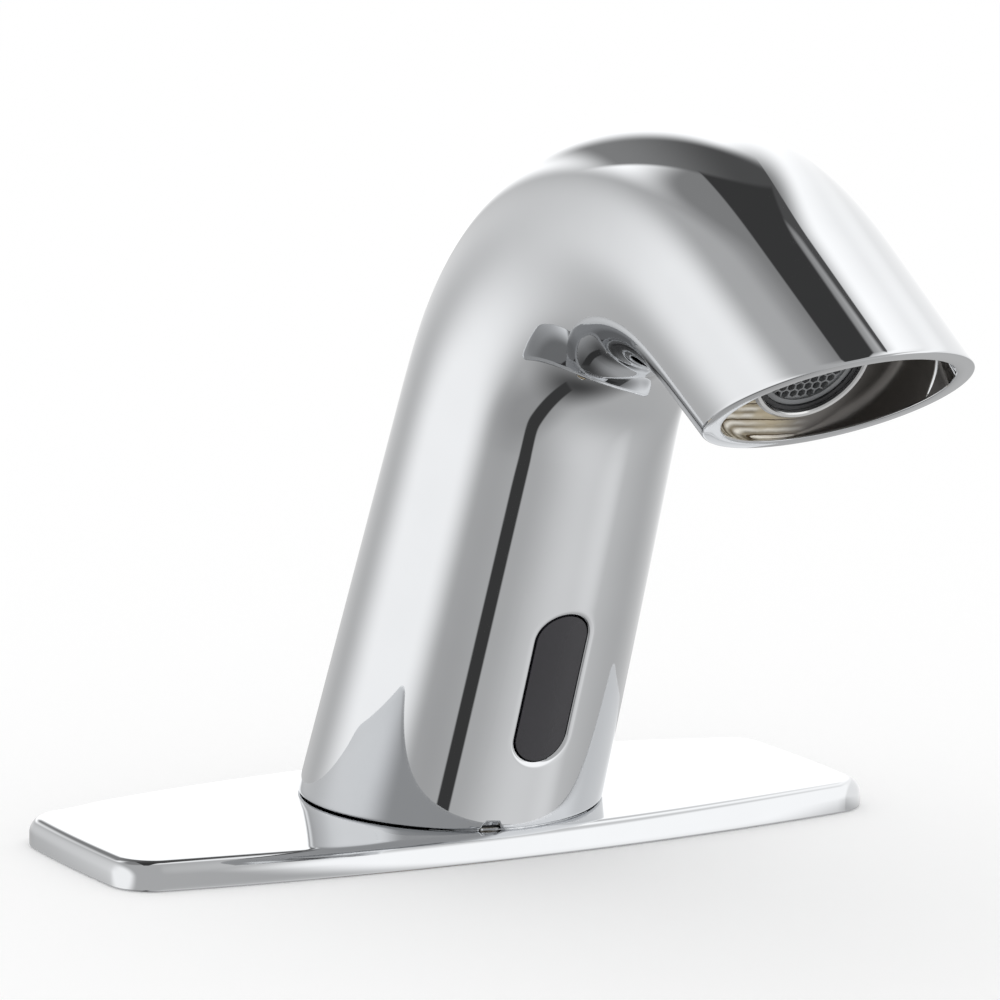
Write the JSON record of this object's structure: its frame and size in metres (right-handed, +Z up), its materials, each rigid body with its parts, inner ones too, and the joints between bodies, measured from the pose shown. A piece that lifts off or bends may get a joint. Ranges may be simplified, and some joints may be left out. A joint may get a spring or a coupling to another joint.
{
  "type": "sensor_tap",
  "caption": "Chrome sensor tap with a leaning round spout, a dark infrared window and a long deck cover plate, with its solenoid valve, inlet and leads inside",
  "frame": {"origin": "centre of the tap hole on the deck surface, on the shank's axis", "axes": "+Z up out of the deck along the shank, the spout points to -Y (front), the deck plate's length lies along X"},
  "size_m": [0.16, 0.1893, 0.2451],
  "materials": {
    "chrome_body": "mirror-polished chrome plating on a brass casting",
    "dark_glass": "dark infrared window, glossy",
    "black_rubber": "moulded black rubber",
    "grey_foam": "closed-cell sealing foam",
    "grey_plastic": "matt moulded grey plastic",
    "raw_brass": "machined brass, not plated",
    "plated_brass": "nickel-plated brass",
    "stainless_steel": "plain stainless steel",
    "white_acetal": "white engineering plastic",
    "black_plastic": "black moulded plastic",
    "copper_winding": "enamelled copper wire under clear tape",
    "zinc_steel": "zinc-plated steel strip",
    "green_laminate": "green circuit board",
    "smoked_lens": "smoked epoxy diode",
    "black_lead": "black cable sheath"
  },
  "bodies": {
    "tap": {"adapter_o_ring": "black_rubber", "aerator_housing": "plated_brass", "aerator_insert": "black_plastic", "aerator_screen": "stainless_steel", "aerator_washer": "black_rubber", "armature_spring": "stainless_steel", "base_flange": "raw_brass", "base_gasket": "black_rubber", "board_parts": "black_plastic", "body_shell": "chrome_body", "bonnet_screws": "stainless_steel", "check_valve_housing": "white_acetal", "check_valve_spring": "stainless_steel", "clamp_screw": "stainless_steel", "clamp_washer_rubber": "black_rubber", "clamp_washer_steel": "stainless_steel", "coil_bobbin": "black_plastic", "coil_winding": "copper_winding", "coil_yoke": "zinc_steel", "core_tube": "stainless_steel", "cover_screws": "stainless_steel", "deck_gasket": "grey_foam", "deck_plate": "chrome_body", "fixed_core": "stainless_steel", "flange_screws": "stainless_steel", "honeycomb_outlet": "grey_plastic", "infrared_emitter": "smoked_lens", "infrared_receiver": "smoked_lens", "inlet_o_rings": "black_rubber", "inlet_strainer": "stainless_steel", "inlet_tube": "stainless_steel", "inlet_union": "plated_brass", "light_baffle": "black_plastic", "lock_nut": "raw_brass", "mounting_shank": "raw_brass", "piston_spring": "stainless_steel", "plate_liner": "grey_plastic", "riser_adapter": "raw_brass", "riser_tube": "stainless_steel", "sensor_board": "green_laminate", "sensor_clamp": "stainless_steel", "sensor_cover": "black_plastic", "sensor_housing": "black_plastic", "sensor_window": "dark_glass", "shank_grommet": "black_rubber", "solenoid_lead": "black_lead", "supply_lead": "black_lead", "supply_socket": "black_plastic", "valve_body": "raw_brass", "valve_bonnet": "raw_brass", "valve_screws": "stainless_steel", "window_gasket": "black_rubber", "yoke_nut": "stainless_steel"},
    "piston": {"valve_piston": "white_acetal", "piston_pad": "black_rubber", "piston_seal": "black_rubber"},
    "armature_slider": {"armature": "stainless_steel", "armature_seal": "black_rubber"},
    "poppet": {"check_valve_poppet": "white_acetal", "poppet_seal": "black_rubber"}
  },
  "joints": [
    {"name": "armature_lift", "type": "slide", "parent": "tap", "child": "armature_slider", "axis": [0, -0.3827, 0.9239], "range_m": [0, 0.0015], "stiffness_N_per_m": 300, "springref_m": -0.004, "deforming": ["armature_spring"]},
    {"name": "piston_lift", "type": "slide", "parent": "tap", "child": "piston", "axis": [0, -0.3827, 0.9239], "range_m": [0, 0.002], "deforming": ["piston_spring"]},
    {"name": "poppet_lift", "type": "slide", "parent": "tap", "child": "poppet", "axis": [0, 0, 1], "range_m": [0, 0.002], "stiffness_N_per_m": 200, "springref_m": -0.002, "deforming": ["check_valve_spring"]}
  ],
  "couplings": [
    {"joint": "piston_lift", "follows": "armature_lift", "ratio": 1.3333}
  ]
}
